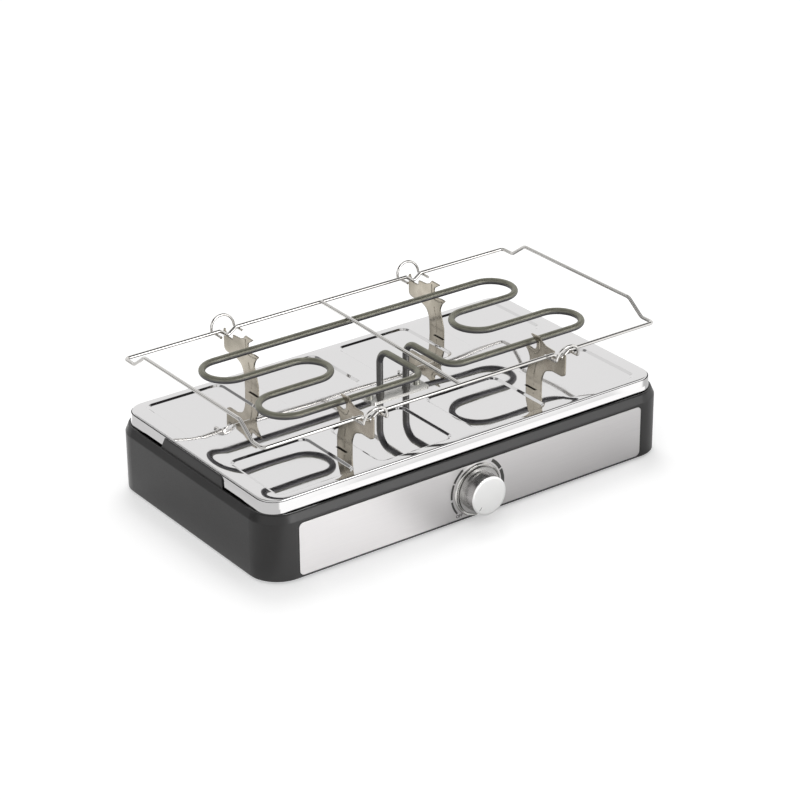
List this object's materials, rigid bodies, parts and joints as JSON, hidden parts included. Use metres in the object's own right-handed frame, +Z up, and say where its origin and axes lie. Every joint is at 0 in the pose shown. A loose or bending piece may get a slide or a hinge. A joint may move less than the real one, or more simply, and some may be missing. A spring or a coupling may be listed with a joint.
{
  "type": "raclette grill",
  "caption": "Raclette grill without its plate: grey housing, steel front with rotary knob, mirror tray, bent tube heater and a loose chrome wire frame.",
  "frame": {"origin": "on the table under the middle of the bounding box", "axes": "+X to the right along the front, +Y to the back, +Z up"},
  "size_m": [0.46, 0.283, 0.1481],
  "materials": {
    "housing_plastic": "fine matte texture, dark warm grey",
    "galvanised_steel": "plain galvanised sheet",
    "zinc_steel": "bright zinc plate",
    "panel_steel": "satin stainless steel, brushed lengthwise",
    "bezel_chrome": "bright ring with a fine knurl",
    "knob_plastic": "metallised dark grey, semi-gloss",
    "cap_steel": "satin face",
    "ceramic_white": "unglazed white ceramic",
    "tray_steel": "mirror-polished stainless steel",
    "rivet_aluminium": "plain rivet heads",
    "heater_oxide": "oxidised steel tube, olive grey, satin",
    "flange_steel": "polished steel",
    "brass_contact": "bare brass",
    "bracket_steel": "steel with heat tint, satin",
    "block_plastic": "off-white moulded plastic",
    "inlet_plastic": "black moulded plastic",
    "foot_rubber": "black rubber",
    "wire_insulation": "braided glass sleeve over copper",
    "frame_chrome": "bright chrome-plated wire"
  },
  "bodies": {
    "base": {"housing": "housing_plastic", "bottom_plate": "galvanised_steel", "foot_front_left": "foot_rubber", "foot_front_right": "foot_rubber", "foot_rear_left": "foot_rubber", "foot_rear_right": "foot_rubber", "bottom_screws": "zinc_steel", "front_panel": "panel_steel", "bezel_ring": "bezel_chrome", "thermostat": "ceramic_white", "thermostat_plate": "galvanised_steel", "thermostat_screws": "zinc_steel", "tray": "tray_steel", "tray_nuts": "zinc_steel", "heat_shield": "galvanised_steel", "shield_rivets": "rivet_aluminium", "heater": "heater_oxide", "heater_pins": "zinc_steel", "heater_insulators": "ceramic_white", "heater_collars": "heater_oxide", "heater_flange": "flange_steel", "flange_screws": "zinc_steel", "flange_nuts": "zinc_steel", "heater_connectors": "brass_contact", "bracket_front_left": "bracket_steel", "bracket_front_right": "bracket_steel", "bracket_rear_left": "bracket_steel", "bracket_rear_right": "bracket_steel", "thermal_fuse": "brass_contact", "fuse_clip": "galvanised_steel", "terminal_block": "block_plastic", "block_screws": "zinc_steel", "earth_screw": "zinc_steel", "cord_inlet": "inlet_plastic", "inlet_nut": "inlet_plastic", "wire_fuse_heater": "wire_insulation", "wire_thermostat_fuse": "wire_insulation", "wire_block_thermostat": "wire_insulation", "wire_block_heater": "wire_insulation", "wire_earth": "wire_insulation"},
    "knob": {"knob_body": "knob_plastic", "knob_cap": "cap_steel", "thermostat_shaft": "zinc_steel"},
    "wire_frame": {"frame_wire_front": "frame_chrome", "frame_wire_rear": "frame_chrome", "frame_end_left": "frame_chrome", "frame_end_right": "frame_chrome", "frame_cross_wire": "frame_chrome", "hoop_front_left": "frame_chrome", "hoop_front_right": "frame_chrome", "hoop_rear_left": "frame_chrome", "hoop_rear_right": "frame_chrome"}
  },
  "joints": [
    {"name": "knob_turn", "type": "hinge", "parent": "base", "child": "knob", "pos_m": [0, -0.12327, 0.03], "axis": [0, 1, 0], "range_deg": [0, 265]},
    {"name": "frame_lift", "type": "slide", "parent": "base", "child": "wire_frame", "axis": [0, 0, 1], "range_m": [0, 0.08]}
  ]
}
